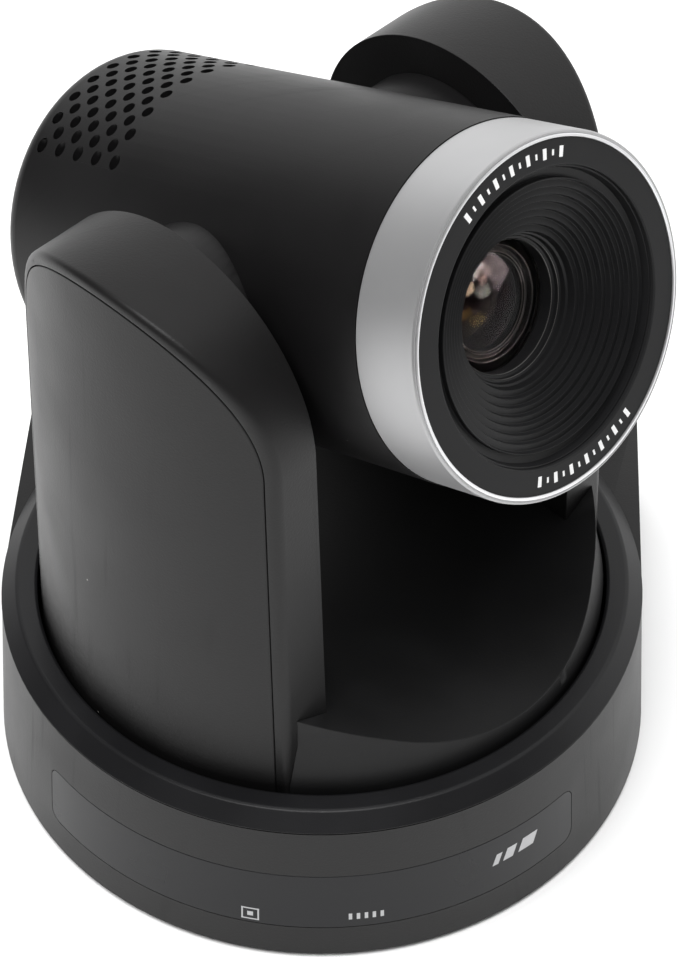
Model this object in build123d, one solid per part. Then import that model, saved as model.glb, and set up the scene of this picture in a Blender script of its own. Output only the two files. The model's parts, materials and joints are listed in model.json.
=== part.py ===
"""A pan and tilt video camera on a D-shaped base, as separate pieces in their resting pose.

Row frame: Z is the pan axis, the base's mounting face is z = 0, and the base's round front faces -Y.
Turret pieces are drawn with the camera facing -Y and then turned to the resting pan angle.
Head pieces are drawn in a lens frame, with Z forward along the lens, Y up and X to the right arm.
All lengths are in millimetres and all angles in degrees.
"""
from build123d import *
from math import acos, cos, pi, radians, sin, sqrt, tan
import os

# ---------------------------------------------------------------- driving dimensions
# Resting pose
rest_pan = 49.0
rest_tilt = 20.6

# Base
base_radius = 75.0
base_back = 77.0
base_corner = 14.0
base_height = 38.9
base_draft = 0.0719
base_wall = 2.5
base_top_wall = 2.4
plate_thickness = 2.5
plate_gap = 0.4
ring_overhang = 0.2
ring_edge_rise = 0.5
ring_bevel = 3.7
ring_crest_rise = 3.8
ring_bore_radius = 64.0
ring_seat = 2.0
ring_fit = 0.1
ring_skirt_depth = 2.6
window_half_angle = 51.0
window_low = 8.8
window_high = 25.4
window_corner = 3.0
window_gap = 0.15
window_step = 0.2
recess_width = 70.0
recess_low = 5.5
recess_high = 33.5
recess_wall = 1.6
panel_depth = 13.5
panel_thickness = 1.5
socket_gap = 0.25
post_radius = 3.5
front_post_angle = 25.0
back_post_side = 14.0
back_post_back = 19.0
case_screw_length = 12.0
pedestal_screw_length = 3.4
screw_radius = 1.5
screw_head_radius = 2.8
screw_head_height = 1.6
screw_gap = 0.05
head_gap = 0.1
small_screw_radius = 1.0
small_head_radius = 2.0
small_head_height = 1.2
foot_radius = 6.0
foot_height = 2.0
foot_pocket_depth = 0.8
foot_edge = 15.0
foot_angle = 40.0
tripod_thread_radius = 3.175
tripod_insert_radius = 6.0
tripod_insert_height = 9.0
bracket_circle_radius = 38.0
bracket_thread_radius = 1.65
bracket_nut_radius = 3.5
bracket_nut_height = 5.0

# Pan drive
gear_module = 0.8
pressure_angle = 20.0
tooth_addendum = 0.64
tooth_dedendum = 0.9
tooth_play = 0.16
pan_gear_teeth = 75
pinion_teeth = 15
pan_gear_width = 4.0
running_gap = 0.05
axial_gap = 0.3
pedestal_flange_radius = 24.0
pedestal_flange_thickness = 3.0
pedestal_seat_radius = 16.0
pedestal_seat_height = 2.5
spindle_radius = 12.0
spindle_bore_radius = 9.2
bush_wall = 1.95
bush_flange_thickness = 1.7
turret_hub_radius = 18.0
turntable_gap = 0.2
turntable_drop = 4.9
turntable_thickness = 3.0
clip_thickness = 1.0
clip_groove_depth = 1.1
motor_radius = 10.0
motor_shaft_radius = 1.5
pan_motor_length = 17.0
motor_ear_x = 14.0
motor_ear_thickness = 1.2
cable_slot_x = 33.0

# Turret
yoke_gap = 0.8
yoke_sink = 0.9
yoke_band = 0.5
yoke_rim_inset = 2.4
yoke_rim_rise = 10.8
yoke_top_inset = 2.9
yoke_top_rise = 22.8
yoke_wall = 2.5
valley_rise = 3.0
valley_radius = 70.0
valley_slope = 28.0
arm_gap = 0.5
arm_arch_radius = 35.9
arm_arch_drop = 4.85
arm_draft = 0.0337
arm_wall = 2.5
arm_ledge = 2.6
cover_inset = 2.5
cover_gap = 0.25
cover_thickness = 2.6
arm_window_radius = 10.0
upright_gap = 0.8
upright_thickness = 2.0
upright_half_width = 14.0
upright_above_axis = 14.95
upright_corner = 8.0
upright_foot = 9.5
ledge_width = 5.7

# Tilt drive
tilt_axis_height = 135.05
tilt_gear_teeth = 60
tilt_gear_width = 3.0
tilt_gear_gap = 2.0
tilt_shaft_radius = 5.0
bearing_radius = 8.0
bearing_width = 4.0
tilt_motor_length = 7.0

# Head
barrel_radius = 35.9
barrel_wall = 2.4
barrel_front = 48.9
barrel_back = 60.0
barrel_back_edge = 5.0
silver_step = 0.2
silver_front = 64.2
silver_wall = 1.4
spigot_length = 6.0
face_plate_thickness = 2.4
face_plate_setback = 0.3
face_width = 5.3
hood_ridges = 8
hood_ledge = 2.8
hood_first_depth = 1.6
hood_throat_step = 2.2
hood_throat_depth = 8.0
hood_ridge_wall = 0.3
hood_groove_depth = 2.6
hood_rim_width = 0.6
hood_rim_setback = 0.9
hood_lip_cover = 0.9
hood_lip_thickness = 2.8
vent_radius = 0.85
vent_pitch_along = 6.0
vent_pitch_across = 2.83
vent_first = 28.6
vent_rows = 16
vent_count = 5
hub_radius = 23.5
hub_proud = 1.8
hub_edge = 0.8
tenon_radius = 7.9
neck_radius = 9.0

# Lens block
lens_tube_radius = 22.0
lens_tube_wall = 2.0
lens_tube_front = 51.0
lens_tube_back = -22.0
front_glass_radius = 14.0
front_glass_rim = 4.0
front_glass_rise = 4.5
glass_gap = 0.05
front_glass_seat = 44.0
front_glass_ledge = 3.0
glass_cell_floor = 2.0
rod_radius = 1.0
rod_inset = 4.0
lead_screw_radius = 1.2
lead_screw_inset = 4.5
carriage_thickness = 4.0
carriage_glass_radius = 9.0
carriage_ring_radius = 13.0
zoom_rest = 12.0
zoom_travel = 8.0
focus_rest = -10.0
focus_travel = 6.0
lens_motor_radius = 4.2
lens_motor_length = 9.0
support_gap = 0.05
support_thickness = 3.0
support_high = -2.0
front_support_low = 30.0
sensor_holder_length = 3.0

# ---------------------------------------------------------------- derived places
base_top_radius = base_radius - base_draft * base_height
ring_outer_radius = base_top_radius + ring_overhang
ring_crest_radius = ring_outer_radius - ring_bevel
ring_edge_height = base_height + ring_edge_rise
ring_crest_height = base_height + ring_crest_rise
shelf_bore_radius = ring_bore_radius + ring_seat
panel_face_y = base_back - panel_depth
foot_circle_radius = base_radius - foot_edge

yoke_radius = ring_bore_radius - yoke_gap
yoke_low = base_height - yoke_sink
yoke_break_height = ring_crest_height + yoke_band
yoke_rim_radius = yoke_radius - yoke_rim_inset
yoke_rim_height = yoke_break_height + yoke_rim_rise
yoke_top_radius = yoke_radius - yoke_top_inset
yoke_top_height = yoke_break_height + yoke_top_rise
valley_floor = yoke_break_height + valley_rise
turntable_radius = yoke_radius - yoke_wall - turntable_gap
turntable_low = base_height - turntable_drop

hub_face = barrel_radius + hub_proud
arm_inner = hub_face + arm_gap
arm_arch_height = tilt_axis_height - arm_arch_drop
upright_inner = arm_inner + arm_wall + upright_gap
upright_top = tilt_axis_height + upright_above_axis
tilt_gear_offset = upright_inner + upright_thickness + tilt_gear_gap

silver_radius = barrel_radius - silver_step
face_bore_radius = silver_radius - silver_wall - face_width
hood_first_radius = face_bore_radius - hood_ledge
hood_lip_radius = front_glass_radius - hood_lip_cover
hood_throat_radius = hood_lip_radius + hood_throat_step
rod_offset = lens_tube_radius - lens_tube_wall - rod_inset
lead_screw_offset = lens_tube_radius - lens_tube_wall - lead_screw_inset

spindle_top = turntable_low + turntable_thickness + axial_gap + clip_thickness + 0.3
pan_gear_low = plate_thickness + pedestal_flange_thickness + pedestal_seat_height
pan_gear_high = pan_gear_low + pan_gear_width
bush_radius = spindle_radius + running_gap + bush_wall
turntable_high = turntable_low + turntable_thickness
pan_centre_distance = gear_module * (pan_gear_teeth + pinion_teeth) / 2
tilt_centre_distance = gear_module * (tilt_gear_teeth + pinion_teeth) / 2
barrel_bore_radius = barrel_radius - barrel_wall
tube_bore_radius = lens_tube_radius - lens_tube_wall
tilt_motor_height = tilt_axis_height - tilt_centre_distance
bracket_inner = tilt_gear_offset + tilt_gear_width + 0.5
plate_lens_front = silver_front - face_plate_setback


# ---------------------------------------------------------------- shared shapes
def on_turret(shape):
    """Turn a turret piece from facing -Y to the resting pan angle."""
    return Rot(0, 0, rest_pan) * shape


def on_head(shape):
    """Carry a head piece from the lens frame to its resting place on the tilt axis."""
    return Rot(0, 0, rest_pan) * Pos(0, 0, tilt_axis_height) * Rot(90 - rest_tilt, 0, 0) * shape


def rod(radius, low, high, bore=0):
    """A round bar or tube along Z from low to high."""
    bar = Pos(0, 0, low) * extrude(Circle(radius), high - low)
    if bore > 0:
        bar -= Pos(0, 0, low - 1) * extrude(Circle(bore), high - low + 2)
    return bar


def cross_rod(radius, low, high, bore=0):
    """A round bar or tube along X from low to high."""
    return Rot(0, 90, 0) * rod(radius, low, high, bore)


def block(x_low, x_high, y_low, y_high, z_low, z_high):
    """A box between two corners."""
    size = Box(x_high - x_low, y_high - y_low, z_high - z_low)
    return Pos((x_low + x_high) / 2, (y_low + y_high) / 2, (z_low + z_high) / 2) * size


def turned(*points):
    """A body of revolution about Z from (radius, height) points."""
    return revolve(Plane.XZ * make_face(Polyline(*points, close=True)), Axis.Z)


def screw(length):
    """A pan-head screw standing on its head, with its head below z = 0."""
    return rod(screw_radius, 0, length) + rod(screw_head_radius, -screw_head_height, 0)


def gear_outline(teeth):
    """An involute spur gear with a tooth centred on +X, thinned by the tooth play."""
    pitch_radius = gear_module * teeth / 2
    angle = radians(pressure_angle)
    flank_foot_radius = pitch_radius * cos(angle)
    tip = pitch_radius + tooth_addendum
    root = pitch_radius - tooth_dedendum
    start = max(flank_foot_radius, root)
    half_tooth = pi / (2 * teeth) - tooth_play / (2 * pitch_radius)
    flank = [(root, half_tooth + tan(angle) - angle)]
    for share in (0.0, 0.35, 0.7, 1.0):
        radius = start + (tip - start) * share
        roll = acos(min(1.0, flank_foot_radius / radius))
        flank.append((radius, half_tooth + tan(angle) - angle - tan(roll) + roll))
    points = []
    for tooth in range(teeth):
        centre = 2 * pi * tooth / teeth
        points += [(r * cos(centre - a), r * sin(centre - a)) for r, a in flank]
        points += [(r * cos(centre + a), r * sin(centre + a)) for r, a in reversed(flank)]
    return make_face(Polyline(*points, close=True))


def gear(teeth, width, phase=0):
    """A spur gear standing on z = 0, turned by phase."""
    return Rot(0, 0, phase) * extrude(gear_outline(teeth), width)


def dome_radius(radius, rise):
    """The radius of the sphere whose cap has this rim radius and rise."""
    return (radius * radius + rise * rise) / (2 * rise)


def lens(radius, back, front, front_rise, back_rise):
    """A glass lens about Z: its front bulges out, and its back bulges out or, below zero, curves in."""
    glass = rod(radius, back - max(back_rise, 0), front + front_rise)
    front_dome = dome_radius(radius, front_rise)
    glass &= Pos(0, 0, front + front_rise - front_dome) * Sphere(front_dome)
    back_dome = dome_radius(radius, abs(back_rise))
    if back_rise > 0:
        return glass & Pos(0, 0, back - back_rise + back_dome) * Sphere(back_dome)
    return glass - Pos(0, 0, back - back_rise - back_dome) * Sphere(back_dome)


# ---------------------------------------------------------------- base
def base_outline(inset, height):
    """The base wall's plan at a height: a round front and a square back with round corners."""
    radius = base_radius - base_draft * height - inset
    back = base_back - base_draft * height - inset
    front = CenterArc((0, 0), radius, 180, 180)
    sides = Polyline((radius, 0), (radius, back), (-radius, back), (-radius, 0))
    plan = make_face(front + sides)
    corners = plan.vertices().group_by(Axis.Y)[-1]
    return Pos(0, 0, height) * fillet(corners, base_corner - inset)


def base_form(inset, low, high):
    """The tapering body of the base between two heights, set in from the outer wall."""
    return loft([base_outline(inset, low), base_outline(inset, high)], ruled=True)


def window_sector(gap):
    """A curved block with round corners, centred on the base's front."""
    half_angle = window_half_angle + gap * 180 / (pi * base_radius)
    low = window_low - gap
    high = window_high + gap
    section = Pos(base_radius - 8, (low + high) / 2) * Rectangle(26, high - low)
    sector = revolve(Plane.XZ * section, Axis.Z, revolution_arc=2 * half_angle)
    radial = [e for e in sector.edges().filter_by(GeomType.LINE) if abs((e @ 1 - e @ 0).Z) < 0.001]
    return Rot(0, 0, -90 - half_angle) * fillet(radial, window_corner + gap)


def post_places():
    """The four screw posts' places in plan: two beside the window and two in the back corners."""
    radius = base_top_radius - base_wall - post_radius + 0.5
    front = [(side * radius * cos(radians(front_post_angle)), -radius * sin(radians(front_post_angle)))
             for side in (-1, 1)]
    back_x = base_radius - back_post_side
    back_y = base_back - back_post_back
    return front + [(side * back_x, back_y) for side in (-1, 1)]


def foot_places():
    """The four rubber feet's places in plan."""
    reach_x = foot_circle_radius * cos(radians(foot_angle))
    reach_y = foot_circle_radius * sin(radians(foot_angle))
    return [(sx * reach_x, sy * reach_y) for sx in (-1, 1) for sy in (-1, 1)]


def bracket_places():
    """The four bracket nuts' places in plan."""
    reach = bracket_circle_radius / sqrt(2)
    return [(sx * reach, sy * reach) for sx in (-1, 1) for sy in (-1, 1)]


def pedestal_screw_places():
    """The four screws that hold the pedestal."""
    reach = (pedestal_seat_radius + pedestal_flange_radius) / 2
    return [(reach, 0), (-reach, 0), (0, reach), (0, -reach)]


recess_half = recess_width / 2


def base_housing():
    ceiling = base_height - base_top_wall
    body = base_form(0, 0, base_height) - base_form(base_wall, -1, ceiling)
    frame = block(
        -recess_half - recess_wall, recess_half + recess_wall,
        panel_face_y, base_back + 2,
        recess_low - recess_wall, recess_high + recess_wall,
    )
    body += frame & base_form(0, 0, base_height)
    for x, y in post_places():
        body += Pos(x, y) * rod(post_radius, plate_thickness + plate_gap / 2, ceiling + 0.5)
    body -= rod(shelf_bore_radius, ceiling - 1, base_height + 1)
    body -= block(-recess_half, recess_half, panel_face_y - 1, base_back + 5, recess_low, recess_high)
    body -= window_sector(window_gap)
    for x, y in post_places():
        body -= Pos(x, y) * rod(screw_radius + screw_gap, 0, case_screw_length + 4)
    return body


def top_ring():
    skirt_radius = shelf_bore_radius - ring_fit
    crest_inner = ring_bore_radius + 0.6
    return turned(
        (ring_outer_radius - 0.6, base_height), (ring_outer_radius, ring_edge_height),
        (ring_crest_radius, ring_crest_height), (crest_inner, ring_crest_height - 0.1),
        (ring_bore_radius, ring_crest_height - 0.6), (ring_bore_radius, base_height - ring_skirt_depth),
        (skirt_radius, base_height - ring_skirt_depth), (skirt_radius, base_height),
    )


def bottom_plate():
    plate = base_form(base_wall + plate_gap, 0, plate_thickness)
    screw_hole = rod(screw_radius + head_gap, -1, plate_thickness + 1)
    screw_hole += rod(screw_head_radius + head_gap, -1, screw_head_height)
    for x, y in post_places():
        plate -= Pos(x, y) * screw_hole
    for x, y in pedestal_screw_places():
        plate -= Pos(x, y) * screw_hole
    for x, y in foot_places():
        plate -= Pos(x, y) * rod(foot_radius + head_gap, -1, foot_pocket_depth)
    for x, y in bracket_places():
        plate -= Pos(x, y) * rod(bracket_nut_radius, -1, plate_thickness + 1)
    return plate - rod(tripod_insert_radius, -1, plate_thickness + 1)


def rubber_feet():
    foot = rod(foot_radius, foot_pocket_depth - foot_height, foot_pocket_depth)
    foot = fillet(foot.edges().group_by(Axis.Z)[0], 0.6)
    return Compound([Pos(x, y) * foot for x, y in foot_places()])


def base_screws():
    case = [Pos(x, y, screw_head_height) * screw(case_screw_length) for x, y in post_places()]
    bolt = screw(pedestal_screw_length)
    pedestal_bolts = [Pos(x, y, screw_head_height) * bolt for x, y in pedestal_screw_places()]
    return Compound(case + pedestal_bolts)


def tripod_insert():
    flange = rod(spindle_bore_radius - 0.2, plate_thickness, plate_thickness + 2)
    body = rod(tripod_insert_radius, 0, tripod_insert_height) + flange
    return body - rod(tripod_thread_radius, -1, tripod_insert_height + 1)


def bracket_nuts():
    nut = rod(bracket_nut_radius, 0, bracket_nut_height, bracket_thread_radius)
    return Compound([Pos(x, y) * nut for x, y in bracket_places()])


def front_window():
    wall = base_form(0, 0, base_height) - base_form(base_wall - window_step, -1, base_height + 1)
    return wall & window_sector(0)


front_board_y = 11.0 - base_radius
front_board_thickness = 1.2
receiver_height = (window_low + window_high) / 2


def front_board():
    return block(-19, 19, front_board_y, front_board_y + front_board_thickness, plate_thickness, window_high)


def ir_receiver():
    return block(-16, -10, front_board_y - 4, front_board_y, receiver_height - 4, receiver_height + 3)


def status_led():
    body = Rot(90, 0, 0) * rod(1.5, -front_board_y, -front_board_y + 3.5)
    return Pos(7, 0, receiver_height) * fillet(body.edges().group_by(Axis.Y)[0], 1.2)


# ---------------------------------------------------------------- connectors at the back
board_low = 8.0
board_thickness = 1.6
board_top = board_low + board_thickness
board_half_width = 48.0
board_front = base_back - panel_depth - 19.5
board_back = base_back - panel_depth - 2.5
upper_row = 27.5
panel_inner_y = panel_face_y - panel_thickness
jack_back = panel_face_y - 10.5

dc_jack_x = -28.5
hdmi_x = -6.0
lan_x = 24.0
sdi_x = -26.0
serial_places = (-6.0, 9.0)
audio_x = 25.0


def back_tube(radius, low, high, bore=0):
    """A round bar or tube along +Y from low to high."""
    return Rot(-90, 0, 0) * rod(radius, low, high, bore)


def standoff_places():
    return [(sx * (board_half_width - 4), y) for sx in (-1, 1) for y in (board_front + 4, board_back - 4)]


def interface_board():
    board = block(-board_half_width, board_half_width, board_front, board_back, board_low, board_top)
    for x, y in standoff_places():
        board -= Pos(x, y) * rod(screw_radius + screw_gap, board_low - 1, board_top + 1)
    return board


def board_standoffs():
    post = rod(2.6, plate_thickness, board_low) + rod(screw_radius, board_low, board_top + 1.2)
    return Compound([Pos(x, y) * post for x, y in standoff_places()])


def dc_jack():
    back = panel_face_y - 13.5
    shell = block(dc_jack_x - 4.5, dc_jack_x + 4.5, back, panel_face_y + 0.5, board_top, board_top + 11)
    centre = Pos(dc_jack_x, 0, board_top + 6)
    shell -= centre * back_tube(2.9, back + 2, panel_face_y + 3)
    return shell + centre * back_tube(1.0, back + 1, panel_face_y - 1)


def hdmi_port():
    back = panel_face_y - 11.5
    shell = block(hdmi_x - 7.5, hdmi_x + 7.5, back, panel_face_y + 0.5, board_top, board_top + 6)
    mouth = block(hdmi_x - 6.9, hdmi_x + 6.9, back + 2.5, panel_face_y + 2, board_top + 0.7, board_top + 5.3)
    tongue = block(hdmi_x - 5, hdmi_x + 5, back + 2, panel_face_y - 2, board_top + 0.5, board_top + 1)
    return shell - mouth + tongue


def lan_port():
    back = panel_face_y - 15.5
    shell = block(lan_x - 8, lan_x + 8, back, panel_face_y + 0.5, board_top, board_top + 13.4)
    mouth = block(lan_x - 5.9, lan_x + 5.9, back + 3, panel_face_y + 2, board_top + 2.4, board_top + 10.4)
    catch = block(lan_x - 3, lan_x + 3, back + 3, panel_face_y + 2, board_top + 0.9, board_top + 2.5)
    return shell - mouth - catch


def sdi_connector():
    body = back_tube(4.8, panel_face_y, panel_face_y + 9, 3.6)
    body += back_tube(5.6, panel_face_y, panel_face_y + 1.6)
    body += back_tube(3.9, jack_back, panel_face_y + 0.8)
    body += back_tube(0.9, panel_face_y - 3.5, panel_face_y + 7)
    lugs = block(-5.9, 5.9, panel_face_y + 6.2, panel_face_y + 8, -0.9, 0.9)
    lugs -= back_tube(4.2, jack_back, panel_face_y + 10)
    body = body - back_tube(3.6, panel_face_y + 1.6, panel_face_y + 10, 0.9) + lugs
    return Pos(sdi_x, 0, upper_row) * body


def round_jacks():
    """Two serial sockets and one audio socket, screwed to the panel."""
    serial = back_tube(4.7, jack_back, panel_face_y + 1.0) - back_tube(4.0, jack_back + 4, panel_face_y + 3)
    audio = back_tube(3.6, jack_back, panel_face_y + 1.2) - back_tube(1.75, jack_back + 2, panel_face_y + 3)
    jacks = [Pos(x, 0, upper_row) * serial for x in serial_places]
    return Compound(jacks + [Pos(audio_x, 0, upper_row) * audio])


def rear_panel():
    top = board_top
    plate = block(
        -recess_half - recess_wall, recess_half + recess_wall,
        panel_inner_y, panel_face_y,
        recess_low - recess_wall, recess_high + recess_wall,
    )
    for x, half, tall in ((dc_jack_x, 4.5, 11), (hdmi_x, 7.5, 6), (lan_x, 8, 13.4)):
        grown = half + socket_gap
        low = top - socket_gap
        high = top + tall + socket_gap
        plate -= block(x - grown, x + grown, jack_back, panel_face_y + 1, low, high)
    for x, radius in ((sdi_x, 3.9), (serial_places[0], 4.7), (serial_places[1], 4.7), (audio_x, 3.6)):
        plate -= Pos(x, 0, upper_row) * back_tube(radius + screw_gap, jack_back, panel_face_y + 1)
    return plate


# ---------------------------------------------------------------- pan drive
def pedestal():
    flange_top = plate_thickness + pedestal_flange_thickness
    body = rod(pedestal_flange_radius, plate_thickness, flange_top)
    body += rod(pedestal_seat_radius, flange_top, pan_gear_low)
    body += rod(spindle_radius, pan_gear_low, spindle_top)
    body -= rod(spindle_bore_radius, 0, spindle_top + 1)
    groove_low = turntable_high + axial_gap
    body -= rod(spindle_radius + 1, groove_low, groove_low + clip_thickness, spindle_radius - clip_groove_depth)
    for x, y in pedestal_screw_places():
        body -= Pos(x, y) * rod(screw_radius + screw_gap, 0, flange_top + 1)
    return body


def pan_gear():
    wheel = gear(pan_gear_teeth, pan_gear_width, rest_pan - 90)
    wheel -= rod(spindle_radius, -1, pan_gear_width + 1)
    for k in range(6):
        wheel -= Rot(0, 0, 60 * k) * Pos(21.0, 0) * rod(4, -1, pan_gear_width + 1)
    return Pos(0, 0, pan_gear_low) * wheel


def spindle_clip():
    low = turntable_high + axial_gap
    ring = rod(spindle_radius + 2.5, low, low + clip_thickness, spindle_radius - clip_groove_depth)
    return ring - block(0, 20, -3, 3, low - 1, low + clip_thickness + 1)


def pan_bush():
    low = pan_gear_high + axial_gap
    flange_top = low + bush_flange_thickness
    body = rod(turret_hub_radius, low, flange_top) + rod(bush_radius, flange_top, turntable_high)
    return body - rod(spindle_radius + running_gap, 0, turntable_high + 1)


def ledge_screw_places():
    radius = turntable_radius - 3
    return [(radius * cos(radians(a)), radius * sin(radians(a))) for a in (70, 110, 250, 290)]


def turntable():
    hub_low = pan_gear_high + axial_gap + bush_flange_thickness
    body = rod(turntable_radius, turntable_low, turntable_high) + rod(turret_hub_radius, hub_low, turntable_low)
    body -= rod(bush_radius, 0, turntable_high + 1)
    free_hole = rod(small_screw_radius + head_gap, turntable_low - 1, turntable_high + 1)
    tapped_hole = rod(small_screw_radius + screw_gap, turntable_low - 1, turntable_high + 1)
    for x, y in ledge_screw_places() + motor_screw_places():
        body -= Pos(x, y) * free_hole
    for side in (-1, 1):
        for x, y in upright_screw_places():
            body -= Pos(side * x, y) * tapped_hole
        slot = extrude(SlotOverall(20, 8, rotation=90), turntable_thickness + 2)
        body -= Pos(side * cable_slot_x, 0, turntable_low - 1) * slot
    return on_turret(body)


def motor_screw_places():
    return [(side * motor_ear_x, -pan_centre_distance) for side in (-1, 1)]


def pan_motor():
    low = turntable_low - pan_motor_length
    ears = extrude(SlotOverall(2 * motor_ear_x + 6, 6.5), -motor_ear_thickness)
    body = Pos(0, 0, turntable_low) * ears + rod(motor_radius, low, turntable_low)
    body += rod(4, low - 1.5, low)
    body -= rod(motor_shaft_radius + running_gap, low - 3, turntable_low - 6)
    ear_hole = rod(small_screw_radius + head_gap, turntable_low - 3, turntable_low + 1)
    for side in (-1, 1):
        body -= Pos(side * motor_ear_x, 0) * ear_hole
    return on_turret(Pos(0, -pan_centre_distance) * body)


def pan_pinion():
    phase = 90 + 180 / pinion_teeth
    wheel = Pos(0, 0, pan_gear_low - 0.5) * gear(pinion_teeth, pan_gear_width + 1, phase)
    wheel += rod(motor_shaft_radius, pan_gear_low + 1, turntable_low - 6.5)
    return on_turret(Pos(0, -pan_centre_distance) * wheel)


# ---------------------------------------------------------------- turret
def valley(drop):
    """The space above the deck: a round valley along Y that runs into two straight slopes."""
    floor = valley_floor - drop
    centre = floor + valley_radius
    knee_x = valley_radius * sin(radians(valley_slope))
    knee_z = centre - valley_radius * cos(radians(valley_slope))
    far_x = yoke_radius + 10
    far_z = knee_z + (far_x - knee_x) * tan(radians(valley_slope))
    top = far_z + 30
    bottom = ThreePointArc((-knee_x, knee_z), (0, floor), (knee_x, knee_z))
    rest = Polyline((knee_x, knee_z), (far_x, far_z), (far_x, top), (-far_x, top), (-far_x, far_z),
                    (-knee_x, knee_z))
    section = Plane.XZ * make_face(bottom + rest)
    return extrude(section, 100, both=True)


def arm_wall_radius(height):
    """The outer wall's radius, which draws in as the arms rise."""
    return yoke_radius - arm_draft * (height - ring_crest_height)


def arm_cone(inset):
    """The round outer wall that both arms share, as a solid."""
    low = yoke_low - 2
    high = arm_arch_height + arm_arch_radius + 10
    low_radius = arm_wall_radius(low) - inset
    high_radius = arm_wall_radius(high) - inset
    return turned((0, low), (low_radius, low), (high_radius, high), (0, high))


def arm_arch(inset, inner, low=yoke_low):
    """One arm's side profile, a straight-sided arch, run along +X from the inner face outwards."""
    radius = arm_arch_radius - inset
    foot = arm_arch_radius + arm_draft * (arm_arch_height - low) - inset
    arc = CenterArc((0, arm_arch_height), radius, 0, 180)
    sides = Polyline((-radius, arm_arch_height), (-foot, low), (foot, low), (radius, arm_arch_height))
    section = Plane.YZ * make_face(arc + sides)
    return Pos(inner, 0, 0) * extrude(section, yoke_radius + 5 - inner)


def right_arm_shape():
    body = arm_arch(0, arm_inner) & arm_cone(0)
    pocket = arm_arch(cover_inset - cover_gap, arm_inner, yoke_low - 1) - arm_cone(cover_thickness)
    cavity = arm_arch(cover_inset + arm_ledge, arm_inner + arm_wall, yoke_low - 1)
    body = body - pocket - cavity
    return body - Pos(0, 0, tilt_axis_height) * cross_rod(arm_window_radius, 0, arm_inner + arm_wall + 1)


def right_cover_shape():
    return arm_arch(cover_inset, arm_inner, yoke_low) & arm_cone(0) - arm_cone(cover_thickness)


def mirrored(shape):
    """The same piece on the other arm."""
    return mirror(shape, about=Plane.YZ)


def yoke_body():
    outer = turned((0, yoke_low), (yoke_radius, yoke_low), (yoke_radius, yoke_break_height),
                   (yoke_rim_radius, yoke_rim_height), (yoke_top_radius, yoke_top_height), (0, yoke_top_height))
    wall = yoke_wall
    inner = turned((0, yoke_low - 1), (yoke_radius - wall, yoke_low - 1),
                   (yoke_radius - wall, yoke_break_height), (yoke_rim_radius - wall, yoke_rim_height),
                   (yoke_top_radius - wall, yoke_top_height + 5), (0, yoke_top_height + 5))
    body = (outer - valley(0)) - (inner - valley(wall))
    ledge_outer = yoke_radius - wall + 0.3
    body += rod(ledge_outer, turntable_high, turntable_high + 2, ledge_outer - ledge_width)
    arm = arm_arch(0, arm_inner, yoke_low - 5)
    body = body - arm - mirrored(arm)
    for x, y in ledge_screw_places():
        body -= Pos(x, y) * rod(small_screw_radius + screw_gap, turntable_high - 1, turntable_high + 3)
    return on_turret(body)


def left_arm():
    return on_turret(mirrored(right_arm_shape()))


def right_arm():
    return on_turret(right_arm_shape())


def left_arm_cover():
    return on_turret(mirrored(right_cover_shape()))


def right_arm_cover():
    return on_turret(right_cover_shape())


upright_outer = upright_inner + upright_thickness


def upright_screw_places():
    x = upright_outer + upright_foot / 2 + 0.5
    return [(x, -8), (x, 8)]


def right_upright_shape():
    half_width = upright_half_width
    plate = block(upright_inner, upright_outer, -half_width, half_width, turntable_high, upright_top)
    top_edges = [e for e in plate.edges().filter_by(Axis.X) if e.center().Z > upright_top - 1]
    plate = fillet(top_edges, upright_corner)
    foot = block(upright_inner, upright_outer + upright_foot, -half_width, half_width,
                 turntable_high, turntable_high + upright_thickness)
    plate += foot
    plate -= Pos(0, 0, tilt_axis_height) * cross_rod(bearing_radius, 0, upright_outer + 5)
    slot_height = (turntable_high + tilt_axis_height) / 2 - 16
    slot = Plane.YZ * Pos(0, slot_height) * SlotOverall(36, 12, rotation=90)
    plate -= extrude(slot, upright_outer + 5)
    for x, y in upright_screw_places():
        plate -= Pos(x, y) * rod(small_screw_radius + head_gap, turntable_high - 1, turntable_high + 4)
    return plate


def left_upright():
    return on_turret(mirrored(right_upright_shape() + tilt_motor_bracket_shape()))


def right_upright():
    return on_turret(right_upright_shape())


def turret_screws():
    """The ledge screws from below, and the motor and upright screws from above."""
    shank = small_screw_radius
    head = small_head_radius
    foot_top = turntable_high + upright_thickness
    ledge = rod(shank, turntable_low, turntable_high + 2)
    ledge += rod(head, turntable_low - small_head_height, turntable_low)
    motor = rod(shank, turntable_low - motor_ear_thickness, turntable_high)
    motor += rod(head, turntable_high, turntable_high + small_head_height)
    upright = rod(shank, turntable_low + 0.5, foot_top) + rod(head, foot_top, foot_top + small_head_height)
    screws = [Pos(x, y) * ledge for x, y in ledge_screw_places()]
    screws += [Pos(x, y) * motor for x, y in motor_screw_places()]
    screws += [Pos(side * x, y) * upright for x, y in upright_screw_places() for side in (-1, 1)]
    return on_turret(Compound(screws))


# ---------------------------------------------------------------- tilt drive
def right_bearing_shape():
    low = arm_inner + arm_wall + 0.2
    ring = cross_rod(bearing_radius, low, low + bearing_width, tilt_shaft_radius + running_gap)
    return Pos(0, 0, tilt_axis_height) * ring


def tilt_bearings():
    return on_turret(Compound([right_bearing_shape(), mirrored(right_bearing_shape())]))


def bracket_posts():
    return [(-12, tilt_motor_height - 8), (12, tilt_motor_height - 8)]


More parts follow.
